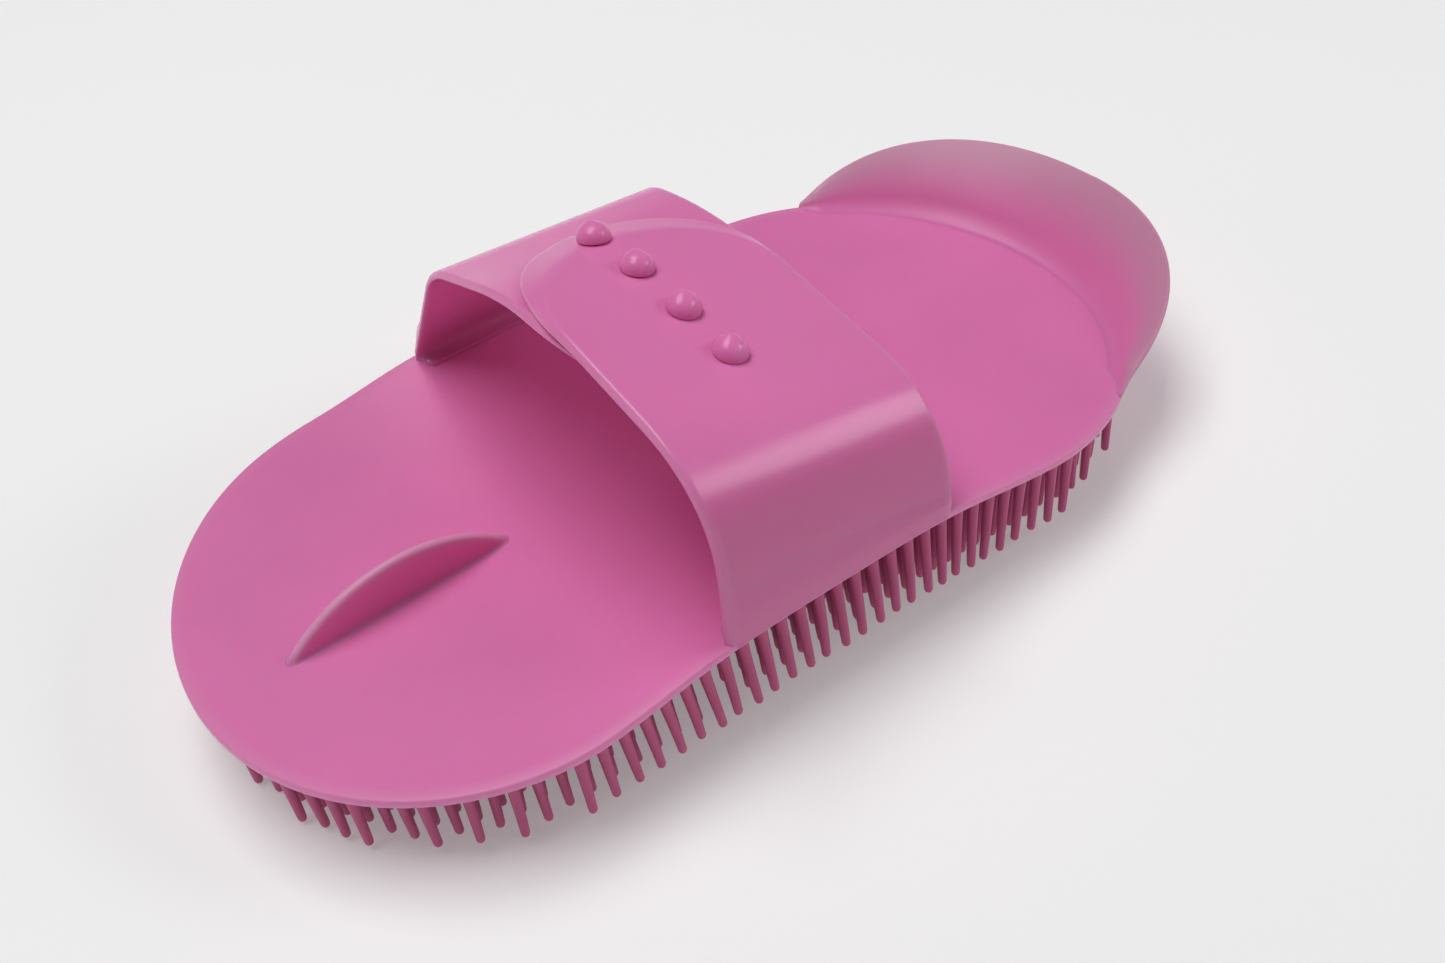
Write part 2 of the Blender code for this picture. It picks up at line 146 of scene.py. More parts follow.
# The hidden part of the section, inside the deck and up along its rim, as (out, up).
GUARD_SUNK = -0.5 * MM
GUARD_HIDDEN_PART = (
    (-0.6 * MM, -1.2 * MM), (0.02 * MM, -0.9 * MM), (0.03 * MM, -0.3 * MM)
)
# Each end starts as this share of the section, round a point inside the deck, and it reaches the
# whole section over a share of the guard's length.
GUARD_END_SHARE = 0.02
GUARD_END_POINT = Vector((-1.2 * MM, -0.9 * MM))
GUARD_GROWTH = 0.012

# Strap line: corners as (y, z, how far back the rounding starts), in mm, at its wrist-side and
# guard-side edges. The roots have no rounding.
STRAP_HALF_WIDTH = 24.5 * MM
STRAP_SAG = 1.5 * MM
RIGHT_ROOT = ((-48.4, 6.9), (-48.4, 6.9))
RIGHT_SHOULDER = ((-46.8, 34.2, 17.0), (-46.4, 25.1, 16.5))
CREST = ((2.0, 45.0, 16.0), (12.0, 35.5, 16.0))
LEFT_SHOULDER = ((35.6, 33.8, 6.5), (36.0, 31.0, 6.5))
LEFT_ROOT = ((49.8, 6.9), (49.8, 6.9))
# A place on the line runs from 0 at the right root to 7 at the left root. Straight stretches start
# at even numbers and bends at odd ones, so these hinges are in the middle of the two shoulders.
RIGHT_HINGE = 1.5
LEFT_HINGE = 5.5
LINE_END = 7.0
LINE_HALVINGS = 24
OUTER_TIP_Y = 22.5 * MM
OUTER_CORNER_Y = (-8.0 * MM, -2.0 * MM)
INNER_TIP_Y = -31.0 * MM
INNER_CORNER_Y = (-1.0 * MM, -1.0 * MM)
# The faces of each flap, as heights above the strap line.
OUTER_FACES = (1.65 * MM, -0.15 * MM)
INNER_FACES = (-0.25 * MM, -1.75 * MM)
FLAP_EDGE_RADIUS = 0.9 * MM
# The two faces of a flap meet at its edges this share of the way up from its inner face.
EDGE_MEETING = 0.25
# A tongue thins towards its free end.
TONGUE_END_DROP = 0.8 * MM
TONGUE_END_LENGTH = 9 * MM
# Where each flap's root piece ends and its upper piece begins, as a place on the strap line.
RIGHT_SEAM = 1.0
LEFT_SEAM = 6.4
ROOT_STANDOFF = 0.05 * MM
ROOT_FILLET = 3.0 * MM
ROOT_FADE = 2.0 * MM
ROOT_STEPS = 26
SUNK_STEPS = 16
FLAP_STEPS = 110
FLAP_MIDDLE_SECTIONS = 36
EDGE_SHARES = (0.0, 0.04, 0.14, 0.3, 0.55, 0.85)
FLAP_PALENESS = 0.55
FLAP_SIDE_PALE_WIDTH = 2.4 * MM
FLAP_END_PALE_WIDTH = 1.6 * MM
# A root piece has no free end: its pale end would lie this far away.
NO_END = 100 * MM
# How far each flap's bend reaches: below and above the hinge at its root, and both ways from the
# hinge at its shoulder.
OUTER_BEND = 13 * MM
INNER_BEND = 7 * MM

# Studs.
STUD_COUNT = 4
STUD_X = -1.0 * MM
STUD_FIRST_Y = -21.6 * MM
STUD_PITCH = 12.5 * MM
STUD_BASE_LIFT = -0.25 * MM
HOLE_RADIUS = 2.15 * MM
HOLE_CUTTER_LENGTH = 10 * MM
STUD_SIDES = 40
# The turned outline of a stud from its foot to the brim of its knob, as (radius, height) in mm.
STUD_NECK = (
    (2.9, -0.2), (2.5, 0.06), (2.1, 0.3), (1.95, 0.7), (1.95, 1.85), (2.3, 1.97), (2.85, 2.0)
)
STUD_BRIM = ((3.05, 2.1), (3.12, 2.3), (3.12, 2.55))
STUD_DOME_HEIGHT = 2.65
STUD_DOME_DEGREES = (8, 16, 24, 32, 40, 48, 56, 64, 72, 80, 86)
# The small nub on top of each knob lies off its middle towards +Y, above this height.
NUB_START = 2.4 * MM
NUB_OFFSET = 1.0 * MM
NUB_RADIUS = 0.85 * MM
NUB_HEIGHT = 0.32 * MM

# Plastic: how much its colour varies, and how light scatters inside it.
MOTTLE = (0.97, 1.03)
SPECKLE_SHARE = 0.12
GLOSS_SPREAD = (-0.02, 0.03)
REFRACTION = 1.5
REFLECTION = 0.32
TRANSLUCENCY = 0.4
SCATTER_RADIUS = (1.0, 0.35, 0.55)
SCATTER = 1.6 * MM
RIB_SCATTER = 5.0 * MM
# Painted shade: the strap's walls are painted darker than its top, though they are no thicker and
# of the same plastic, for the shade that falls on them. This share of red, green and blue is left
# there. The painted shade starts this far off the strap's middle and takes this length.
WALL_PAINTED_SHADE = (0.82, 0.74, 0.74)
WALL_PAINTED_SHADE_START = 41 * MM
WALL_PAINTED_SHADE_LENGTH = 6 * MM

# Floor: a flat disc with a rim that curves up, in metres, and how strongly it glows near the comb
# and far from it.
FLOOR_RADII = (0.5, 0.6, 0.7, 0.8, 0.9, 1.0, 1.2, 1.4, 1.6, 1.8, 2.1, 2.4, 2.8, 3.2, 3.6, 4.0)
FLOOR_FLAT = 1.4
FLOOR_RIM_RISE = 0.7
FLOOR_SIDES = 96
FLOOR_GLOW = (0.24, 0.55)
FLOOR_COLOR = (0.80, 0.80, 0.80, 1.0)
FLOOR_ROUGHNESS = 0.85
WHITE = (1.0, 1.0, 1.0, 1.0)

# Lights: name, direction from the comb, distance in m, size in m and power in W.
SOFTBOXES = (
    ("overhead", (-0.15, 0.2, 1.0), 1.3, (1.2, 0.6), 12.2),
    ("shoulder_box", (0.70, -0.46, 0.53), 1.0, (0.42, 0.26), 1.7),
    ("wrist_end_fill", (-0.9, 0.35, 0.45), 1.3, (0.8, 0.6), 0.6),
)
WORLD_STRENGTH = 0.05
COMB_MIDDLE = Vector((0.0, 0.0, 0.03))

# Camera: place in deck coordinates, rotation in degrees, lens and sensor in mm and reach in m.
CAMERA_PLACE = Vector((-0.1262, -0.1933, 0.2008))
CAMERA_DEGREES = (47.63, 2.73, -38.04)
CAMERA_LENS = 41.06
CAMERA_SENSOR = 36.0
CAMERA_REACH = 20.0


def mix(a, b, share):
    return a + (b - a) * share


def smooth(share):
    share = min(1.0, max(0.0, share))
    return share * share * (3 - 2 * share)


def fillet(height, radius):
    """How far a round fillet of this radius still stands out at this height above its foot."""
    if height >= radius:
        return 0.0
    return radius - math.sqrt(radius**2 - (radius - max(0.0, height)) ** 2)


def rounded(distance, radius):
    """The share of a plate's full half thickness at this distance from its rounded edge."""
    share = min(1.0, max(0.0, distance / radius))
    return math.sqrt(1 - (1 - share) ** 2)


# Deck surface


def deck_top(x, y):
    waist = WAIST_DISH * math.exp(-((x / WAIST_REACH) ** 4))
    return -ARCH * x * x + (DISH + waist) * y * y


def deck_normal(x, y):
    step = 0.1 * MM
    slope_x = (deck_top(x + step, y) - deck_top(x - step, y)) / (2 * step)
    slope_y = (deck_top(x, y + step) - deck_top(x, y - step)) / (2 * step)
    return Vector((-slope_x, -slope_y, 1.0)).normalized()


def deck_ends(y, inset):
    share = math.sqrt(max(0.0, 1 - (y / (DECK_HALF_WIDTH - inset)) ** 2))
    start = WRIST_END_CENTRE - (WRIST_END_LENGTH - inset) * share
    end = GUARD_END_CENTRE + (GUARD_END_LENGTH - inset) * share
    return start, end


def row_places(number):
    """The y of a row of teeth, and the x of each tooth in it."""
    y = (number - (ROW_COUNT - 1) / 2) * ROW_PITCH
    start, end = deck_ends(y, TOOTH_INSET)
    stagger = 0.5 * (number % 2)
    first = math.ceil(start / TOOTH_PITCH - stagger)
    last = math.floor(end / TOOTH_PITCH - stagger)
    return y, [(i + stagger) * TOOTH_PITCH for i in range(first, last + 1)]


def tooth_axis(x, y):
    """The root of a tooth on the deck's underside and the direction in which it points."""
    return Vector((x, y, deck_top(x, y) - DECK_THICKNESS)), -deck_normal(x, y)


def lowest_tooth():
    heights = []
    for number in range(ROW_COUNT):
        y, xs = row_places(number)
        for x in xs:
            root, down = tooth_axis(x, y)
            heights.append((root + down * TOOTH_LENGTH).z)
    return min(heights)


# The CAD model stands on its lowest teeth, and X = 0 is halfway along deck and guard together.
SHIFT = Vector(
    (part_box("deck")[0].x - (WRIST_END_CENTRE - WRIST_END_LENGTH), 0.0, -lowest_tooth())
)


# Mesh helpers


def finish_piece(name, bm, material, replaced, thin_and_highlight=None, sharp_degrees=40, painted_shade=None):
    """Moves a bmesh into the frame and makes it a named piece that stands for the replaced nodes.

    The two functions give the shares of the pale colour and of the painted wall shade at a point.
    """
    bmesh.ops.remove_doubles(bm, verts=bm.verts, dist=WELD)
    bmesh.ops.recalc_face_normals(bm, faces=bm.faces)
    mesh = bpy.data.meshes.new(name)
    bm.to_mesh(mesh)
    bm.free()
    for key, value_at in (("thin_and_highlight", thin_and_highlight), ("painted_shade", painted_shade)):
        values = mesh.attributes.new(key, "FLOAT", "POINT")
        for i, vert in enumerate(mesh.vertices):
            values.data[i].value = value_at(vert.co) if value_at else 0.0
    mesh.transform(Matrix.Translation(SHIFT))
    mesh.shade_smooth()
    mesh.set_sharp_from_angle(angle=math.radians(sharp_degrees))
    mesh.materials.append(material)
    obj = bpy.data.objects.new(name, mesh)
    bpy.context.scene.collection.objects.link(obj)
    if replaced:
        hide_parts(*replaced)
    return obj


def loft(bm, rings, closed=True, caps=True):
    """Joins rings of equal length into a skin. Closed rings may be capped at both ends."""
    verts = [[bm.verts.new(p) for p in ring] for ring in rings]
    count = len(rings[0])
    for low, high in zip(verts, verts[1:]):
        for i in range(0 if closed else 1, count):
            bm.faces.new((low[i - 1], low[i], high[i], high[i - 1]))
    if closed and caps:
        bm.faces.new(verts[0][::-1])
        bm.faces.new(verts[-1])
    return verts


def plate(upper, lower):
    """A closed plate between two equal grids of points, whose borders may coincide."""
    bm = bmesh.new()
    rings = [list(top) + list(bottom)[::-1] for top, bottom in zip(upper, lower)]
    verts = loft(bm, rings, closed=True, caps=False)
    columns = len(upper[0])
    for ring in (verts[0], verts[-1]):
        for j in range(columns - 1):
            bm.faces.new((ring[j], ring[j + 1], ring[-2 - j], ring[-1 - j]))
    return bm


# Materials


def noise(tree, coordinates, scale, detail, roughness=0.5):
    node = tree.nodes.new("ShaderNodeTexNoise")
    node.inputs["Scale"].default_value = scale
    node.inputs["Detail"].default_value = detail
    node.inputs["Roughness"].default_value = roughness
    tree.links.new(coordinates, node.inputs["Vector"])
    return node.outputs["Fac"]


def map_range(tree, value, low, high, from_low=0.3, from_high=0.7):
    node = tree.nodes.new("ShaderNodeMapRange")
    node.inputs["From Min"].default_value = from_low
    node.inputs["From Max"].default_value = from_high
    node.inputs["To Min"].default_value = low
    node.inputs["To Max"].default_value = high
    tree.links.new(value, node.inputs["Value"])
    return node.outputs["Result"]


def mix_color(tree, factor, a, b, blend="MIX"):
    node = tree.nodes.new("ShaderNodeMix")
    node.data_type = "RGBA"
    node.blend_type = blend
    for socket, value in ((node.inputs[0], factor), (node.inputs[6], a), (node.inputs[7], b)):
        if isinstance(value, bpy.types.NodeSocket):
            tree.links.new(value, socket)
        else:
            socket.default_value = value
    return node.outputs[2]


def bump(tree, height, strength, distance, normal=None):
    node = tree.nodes.new("ShaderNodeBump")
    node.inputs["Strength"].default_value = strength
    node.inputs["Distance"].default_value = distance
    tree.links.new(height, node.inputs["Height"])
    if normal is not None:
        tree.links.new(normal, node.inputs["Normal"])
    return node.outputs["Normal"]


def attribute(tree, name):
    node = tree.nodes.new("ShaderNodeAttribute")
    node.attribute_name = name
    return node.outputs["Fac"]


def soft_plastic(name, color, thin_and_highlight_color, gloss, scatter=SCATTER):
    """Satin, slightly translucent plastic with a fine grain.

    The pale colour takes over where its attribute says so: where the plastic is thin, and as a
    painted highlight on the deck's rim and the rib's crown. Painted shade darkens the strap's walls
    where the other attribute says so.
    """
    material = bpy.data.materials.new(name)
    material.use_nodes = True
    tree = material.node_tree
    shader = tree.nodes["Principled BSDF"]
    place = tree.nodes.new("ShaderNodeTexCoord").outputs["Object"]
    cloud = map_range(tree, noise(tree, place, 35, 2), 0.0, 1.0)
    speckle = map_range(tree, noise(tree, place, 900, 3), 0.0, 1.0)
    darker = tuple(c * MOTTLE[0] for c in color)
    lighter = tuple(min(1.0, c * MOTTLE[1]) for c in color)
    base = mix_color(tree, cloud, (*darker, 1.0), (*lighter, 1.0))
    specks = map_range(tree, speckle, 0.0, SPECKLE_SHARE, 0.0, 1.0)
    grainy = mix_color(tree, specks, base, (*lighter, 1.0))
    # Painted shade: a darker copy of the colour down the strap's walls.
    painted_shade_color = tuple(c * share for c, share in zip(color, WALL_PAINTED_SHADE))
    shaded = mix_color(tree, attribute(tree, "painted_shade"), grainy, (*painted_shade_color, 1.0))
    edged = mix_color(tree, attribute(tree, "thin_and_highlight"), shaded, (*thin_and_highlight_color, 1.0))
    tree.links.new(edged, shader.inputs["Base Color"])
    smoothest, roughest = (gloss + change for change in GLOSS_SPREAD)
    rough = map_range(tree, noise(tree, place, 90, 4), smoothest, roughest, 0.2, 0.8)
    tree.links.new(rough, shader.inputs["Roughness"])
    grain = bump(tree, noise(tree, place, 1900, 2, 0.6), 0.35, 0.02 * MM)
    waves = bump(tree, noise(tree, place, 60, 1), 0.25, 0.25 * MM, grain)
    tree.links.new(waves, shader.inputs["Normal"])
    shader.inputs["IOR"].default_value = REFRACTION
    shader.inputs["Specular IOR Level"].default_value = REFLECTION
    shader.inputs["Subsurface Weight"].default_value = TRANSLUCENCY
    shader.inputs["Subsurface Radius"].default_value = SCATTER_RADIUS
    shader.inputs["Subsurface Scale"].default_value = scatter
    return material


# Each plastic: its colour, its pale colour for thin parts and painted highlights, its roughness and
# how far light scatters. The rib's colour is painted lighter, and the guard's and teeth's darker,
# than the deck's, as painted light and shade.
deck_plastic = soft_plastic("deck_satin", (0.81, 0.208, 0.50), (0.78, 0.28, 0.52), 0.36)
# Painted light: the rib's colour is a lighter copy of the deck's, which brightens its shaded faces.
rib_plastic_painted_light = soft_plastic("rib_satin_painted_light", (0.85, 0.225, 0.52), (0.78, 0.34, 0.54), 0.36, RIB_SCATTER)
strap_plastic = soft_plastic("strap_satin", (0.83, 0.225, 0.515), (0.73, 0.275, 0.50), 0.20)
# Painted shade: the guard's colour is a darker copy of the deck's, for the weaker light on its
# leaning faces.
guard_plastic_painted_shade = soft_plastic("guard_satin_painted_shade", (0.78, 0.198, 0.475), (0.62, 0.285, 0.44), 0.36)
# Painted shade: the teeth's colour is a much darker copy of the deck's, for the shade under the
# deck.
tooth_plastic_painted_shade = soft_plastic("tooth_satin_painted_shade", (0.52, 0.095, 0.235), (0.52, 0.095, 0.235), 0.45)


# Deck


def outline():
    """Samples round the deck's rim: (rim point, outward direction, point of the centre line)."""
    samples = []
    quarter = math.pi / 2
    opening = [quarter * i / END_STEPS for i in range(END_STEPS + 1)]
    closing = [quarter * (1 - i / END_STEPS) for i in range(END_STEPS + 1)]
    for centre, length, angles in (
        (WRIST_END_CENTRE, -WRIST_END_LENGTH, opening),
        (GUARD_END_CENTRE, GUARD_END_LENGTH, closing),
    ):
        for angle in angles:
            along = math.cos(angle)
            across = -math.sin(angle)
            rim = Vector((centre + length * along, DECK_HALF_WIDTH * across))
            out = Vector((along / length, across / DECK_HALF_WIDTH)).normalized()
            samples.append((rim, out, Vector((centre, 0.0))))
    side = []
    for i in range(1, SIDE_STEPS):
        x = mix(WRIST_END_CENTRE, GUARD_END_CENTRE, i / SIDE_STEPS)
        side.append((Vector((x, -DECK_HALF_WIDTH)), Vector((0.0, -1.0)), Vector((x, 0.0))))
    near = samples[: END_STEPS + 1] + side + samples[END_STEPS + 1 :]
    far = [tuple(Vector((v.x, -v.y)) for v in sample) for sample in near[-2:0:-1]]
    return near + far


def rim_profile():
    """The rim's section from the top face round to the underside: (how far in, how far down)."""
    points = []
    for i in range(RIM_STEPS + 1):
        angle = math.pi / 2 * i / RIM_STEPS
        points.append((RIM_RADIUS * (1 - math.sin(angle)), RIM_RADIUS * (1 - math.cos(angle))))
    points += [(d, DECK_THICKNESS - down) for d, down in points[::-1]]
    return points


def build_deck():
    """The dished plate, as rings that run from its centre line over the rim and back underneath."""
    samples = outline()
    shares = [i / DECK_RINGS for i in range(DECK_RINGS)]

    def level(share, inset, down):
        ring = []
        for rim, out, centre in samples:
            edge = rim - out * inset
            point = centre.lerp(edge, share)
            ring.append((point.x, point.y, deck_top(point.x, point.y) - down))
        return ring

    rings = [level(share, RIM_RADIUS, 0.0) for share in shares]
    rings += [level(1.0, inset, down) for inset, down in rim_profile()]
    rings += [level(share, RIM_RADIUS, DECK_THICKNESS) for share in shares[::-1]]
    bm = bmesh.new()
    loft(bm, rings, closed=True, caps=False)
    obj = finish_piece("deck_moulding", bm, deck_plastic, ["deck"], deck_rim_painted_highlight)
    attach(obj, "comb")


def rim_distance(point):
    """Roughly how far inside the deck's rim a point is."""
    wrist_side = max(WRIST_END_CENTRE - point.x, 0.0) / WRIST_END_LENGTH
    guard_side = max(point.x - GUARD_END_CENTRE, 0.0) / GUARD_END_LENGTH
    return (1 - math.hypot(wrist_side + guard_side, point.y / DECK_HALF_WIDTH)) * DECK_HALF_WIDTH


# Painted highlight: the deck is painted paler along its rim, though it is no thinner there.
def deck_rim_painted_highlight(point):
    return RIM_PAINTED_HIGHLIGHT * smooth(1 - rim_distance(point) / RIM_PAINTED_HIGHLIGHT_WIDTH)


# Teeth


def build_tooth(bm, x, y, chance):
    """One round, flared and slightly bent tooth with a domed tip."""
    root, down = tooth_axis(x, y)
    side = down.cross(Vector((0.0, 1.0, 0.0))).normalized()
    across = down.cross(side)
    bend = (side * chance.uniform(-1, 1) + across * chance.uniform(-1, 1)) * TOOTH_BEND
    stations = []
    straight = TOOTH_LENGTH - TOOTH_TIP_RADIUS
    for share in TOOTH_SHARES:
        length = share * straight
        radius = mix(TOOTH_ROOT_RADIUS, TOOTH_TIP_RADIUS, share)
        stations.append((length, radius + TOOTH_FLARE * math.exp(-length / TOOTH_FLARE_LENGTH)))
    for degrees in TOOTH_TIP_DEGREES:
        angle = math.radians(degrees)
        length = straight + TOOTH_TIP_RADIUS * math.sin(angle)
        stations.append((length, TOOTH_TIP_RADIUS * math.cos(angle)))
    rings = []
    for length, radius in stations:
        middle = root + down * length + bend * (length / TOOTH_LENGTH) ** 2
        rings.append([
            middle + (side * math.cos(a) + across * math.sin(a)) * radius
            for a in (2 * math.pi * i / TOOTH_SIDES for i in range(TOOTH_SIDES))
        ])
    verts = loft(bm, rings, closed=True, caps=False)
    tip = bm.verts.new(root + down * TOOTH_LENGTH + bend)
    top = bm.verts.new(root - down * DECK_THICKNESS / 2)
    for i in range(TOOTH_SIDES):
        bm.faces.new((verts[-1][i - 1], verts[-1][i], tip))
        bm.faces.new((verts[0][i], verts[0][i - 1], top))


def build_teeth():
    chance = random.Random(TOOTH_SEED)
    for number in range(ROW_COUNT):
        y, xs = row_places(number)
        bm = bmesh.new()
        for x in xs:
            build_tooth(bm, x, y, chance)
        name = f"tooth_row_{number + 1:02d}"
        obj = finish_piece(name + "_moulded", bm, tooth_plastic_painted_shade, [name], None, 60)
        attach(obj, "comb")


# Rib and guard


def rib_height(along):
    """The height of the rib's arc at this distance along it from its middle."""
    radius = (RIB_HALF_LENGTH**2 + RIB_HEIGHT**2) / (2 * RIB_HEIGHT)
    return math.sqrt(radius**2 - along**2) - (radius - RIB_HEIGHT)


def build_rib():
    """A thin upright blade under a circular arc, which grows out of the deck with a fillet."""
    rings = []
    for i in range(RIB_SECTIONS + 1):
        along = -RIB_HALF_LENGTH * math.cos(math.pi * i / RIB_SECTIONS)
        height = rib_height(along)
        x = RIB_CENTRE_X + along
        side = []
        for share in RIB_SHARES:
            up = share * height
            half = mix(RIB_FOOT_HALF, RIB_CROWN_HALF, share) * rounded(height - up, RIB_CROWN_HALF)
            foot = fillet(up, RIB_FILLET) * rounded(height - up, RIB_FILLET_FADE)
            taper = mix(RIB_END_THICKNESS, 1.0, rounded(height, RIB_END_TAPER))
            side.append(((half + foot) * taper, up))
        ring = [(x, -y, deck_top(x, y) + up) for y, up in side]
        ring += [(x, y, deck_top(x, y) + up) for y, up in side[-2::-1]]
        foot = side[0][0] * RIB_SUNK_SHARE
        sunk = DECK_THICKNESS / 2
        ring += [(x, foot, deck_top(x, 0.0) - sunk), (x, -foot, deck_top(x, 0.0) - sunk)]
        rings.append(ring)
    bm = bmesh.new()
    loft(bm, rings)
    obj = finish_piece(
        "finger_rib_moulded", bm, rib_plastic_painted_light, ["finger_rib"], rib_crown_thin_and_highlight
    )
    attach(obj, "comb")


def rib_crown_thin_and_highlight(point):
    """The rib is painted paler along its crown, partly for its thinner top and partly as a painted
    highlight, except where it is low.
    """
    height = rib_height(min(RIB_HALF_LENGTH, abs(point.x - RIB_CENTRE_X)))
    below = height - (point.z - deck_top(point.x, 0.0))
    return smooth(1 - below / RIB_HIGHLIGHT_DEPTH) * smooth(height / RIB_HIGHLIGHT_START)


def guard_rise(angle):
    """The guard's height above the deck's rim at this angle round its end."""
    if angle > 0:
        rise = GUARD_RISE * (1 - (angle / GUARD_SPAN_LEFT) ** GUARD_ROUNDNESS_LEFT)
        return (rise + math.hypot(rise, GUARD_TAIL_LEFT)) / 2
    rise = GUARD_RISE * (1 - (-angle / GUARD_SPAN_RIGHT) ** GUARD_ROUNDNESS_RIGHT)
    return (rise + math.hypot(rise, GUARD_TAIL_RIGHT)) / 2


def grown_size(most, growth, rise):
    """A size that grows with the guard's rise up to the most it gets."""
    return min(most, growth[0] + growth[1] * rise)


def guard_section(rise):
    """The guard's section at this rise: (how far outside the rim, how far above the deck)."""
    reach = rise / math.tan(GUARD_LEAN)

    def outer(share):
        return Vector((reach * share * mix(GUARD_STEEP_FOOT, 1.0, share), rise * share))

    lean = Vector((math.cos(GUARD_LEAN), math.sin(GUARD_LEAN)))
    inward = Vector((-lean.y, lean.x))
    foot = grown_size(GUARD_FOOT, GUARD_FOOT_GROWTH, rise)
    edge = grown_size(GUARD_EDGE, GUARD_EDGE_GROWTH, rise)
    fillet_size = grown_size(GUARD_FILLET, GUARD_FILLET_GROWTH, rise)
    outside = [outer(share) for share in GUARD_SHARES]
    tip = outer(1.0) + (inward - lean) * edge / 2
    cap = []
    for i in range(GUARD_CAP_STEPS + 1):
        angle = math.pi * i / GUARD_CAP_STEPS
        cap.append(tip + (lean * math.sin(angle) - inward * math.cos(angle)) * edge / 2)
    inside = [outer(share) + inward * mix(foot, edge, share) for share in GUARD_SHARES[::-1]]
    # A curve replaces the last three points inside, so that the guard meets the deck in a fillet.
    start = inside[-3]
    corner = Vector((-foot, GUARD_CORNER_LIFT))
    stop = Vector((-foot - fillet_size, GUARD_STOP_LIFT))
    steps = [i / GUARD_CURVE_STEPS for i in range(GUARD_CURVE_STEPS + 1)]
    curve = [start * (1 - t) ** 2 + corner * 2 * t * (1 - t) + stop * t * t for t in steps]
    hidden = [Vector((stop.x, GUARD_SUNK)), *(Vector(point) for point in GUARD_HIDDEN_PART)]
    return hidden + outside + cap + inside[:-3] + curve


def guard_rim(angle):
    """The point of the deck's rim at this angle round its guard end."""
    along = GUARD_END_LENGTH * math.cos(angle)
    return Vector((GUARD_END_CENTRE + along, DECK_HALF_WIDTH * math.sin(angle)))


def build_guard():
    """A thin flared lip round the deck's rounded end, fading into the rim at both ends."""
    rings = []
    first = -GUARD_SPAN_RIGHT - GUARD_OVERRUN_RIGHT
    last = GUARD_SPAN_LEFT + GUARD_OVERRUN_LEFT
    for i in range(GUARD_SECTIONS + 1):
        share = 0.5 - 0.5 * math.cos(math.pi * i / GUARD_SECTIONS)
        angle = mix(first, last, share)
        rim = guard_rim(angle)
        out = Vector((math.cos(angle), math.sin(angle)))
        grown = mix(GUARD_END_SHARE, 1.0, smooth(min(share, 1 - share) / GUARD_GROWTH))
        ring = []
        for point in guard_section(guard_rise(angle)):
            point = GUARD_END_POINT.lerp(point, grown)
            place = rim + out * point.x
            base = deck_top(place.x, place.y) if point.x < 0 else deck_top(rim.x, rim.y)
            ring.append((place.x, place.y, base + point.y))
        rings.append(ring)
    bm = bmesh.new()
    loft(bm, rings)
    obj = finish_piece("guard_flare", bm, guard_plastic_painted_shade, ["guard_lip"], guard_thin)
    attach(obj, "comb")


def guard_thin(point):
    """The guard is paler towards its edge."""
    along = (point.x - GUARD_END_CENTRE) / GUARD_END_LENGTH
    angle = math.atan2(point.y / DECK_HALF_WIDTH, along)
    rise = guard_rise(angle)
    rim = guard_rim(angle)
    return smooth((point.z - deck_top(rim.x, rim.y)) / rise) ** 2


# Strap line


def strap_corner(pair, share):
    return [mix(a, b, share) * MM for a, b in zip(*pair)]


def strap_line(x, place):
    """The point and the tangent of the strap line, as (y, z) vectors, before the sag."""
    share = (x / STRAP_HALF_WIDTH + 1) / 2
    root = Vector(strap_corner(RIGHT_ROOT, share))
    end = Vector(strap_corner(LEFT_ROOT, share))
    corners = [strap_corner(pair, share) for pair in (RIGHT_SHOULDER, CREST, LEFT_SHOULDER)]
    tops = [Vector(corner[:2]) for corner in corners]
    line = [root, *tops, end]
    stretch = min(int(place), int(LINE_END) - 1)
    along = place - stretch
    number = (stretch + 1) // 2
    if stretch % 2:
        corner = line[number]
        start = corner + (line[number - 1] - corner).normalized() * corners[number - 1][2]
        stop = corner + (line[number + 1] - corner).normalized() * corners[number - 1][2]
        point = start * (1 - along) ** 2 + corner * 2 * along * (1 - along) + stop * along**2
        tangent = (corner - start) * (1 - along) + (stop - corner) * along
        return point, tangent.normalized()
    start = line[number]
    stop = line[number + 1]
    direction = (stop - start).normalized()
    if number > 0:
        start = start + direction * corners[number - 1][2]
    if number < len(corners):
        stop = stop - direction * corners[number][2]
    return start.lerp(stop, along), direction


def place_at_y(x, y):
    """The place on the strap line where it crosses this y, found by halving."""
    low = 0.0
    high = LINE_END
    for _ in range(LINE_HALVINGS):
        middle = (low + high) / 2
        if strap_line(x, middle)[0].x < y:
            low = middle
        else:
            high = middle
    return (low + high) / 2


def strap_point(x, place):
    """A point of the strap line's surface, which sags between the shoulders."""
    point = strap_line(x, place)[0]
    right = strap_line(x, RIGHT_HINGE)[0].x
    left = strap_line(x, LEFT_HINGE)[0].x
    across = min(1.0, max(0.0, (point.x - right) / (left - right)))
    sag = STRAP_SAG * (1 - (x / STRAP_HALF_WIDTH) ** 2) * math.sin(math.pi * across) ** 2
    return Vector((x, point.x, point.y - sag))


def strap_frame(x, place):
    """A point of the strap line's surface, its tangent along the strap and its outward normal."""
    step = 0.2 * MM
    across = strap_point(x + step, place) - strap_point(x - step, place)
    tangent = strap_line(x, place)[1]
    tangent = Vector((0.0, tangent.x, tangent.y))
    return strap_point(x, place), tangent, across.cross(tangent).normalized()


def flap_end_y(x, tip, corners):
    """The y of a flap's free end, half an ellipse between its two corners and its tip."""
    corner = mix(corners[0], corners[1], (x / STRAP_HALF_WIDTH + 1) / 2)
    return corner + (tip - corner) * math.sqrt(max(0.0, 1 - (x / STRAP_HALF_WIDTH) ** 2))


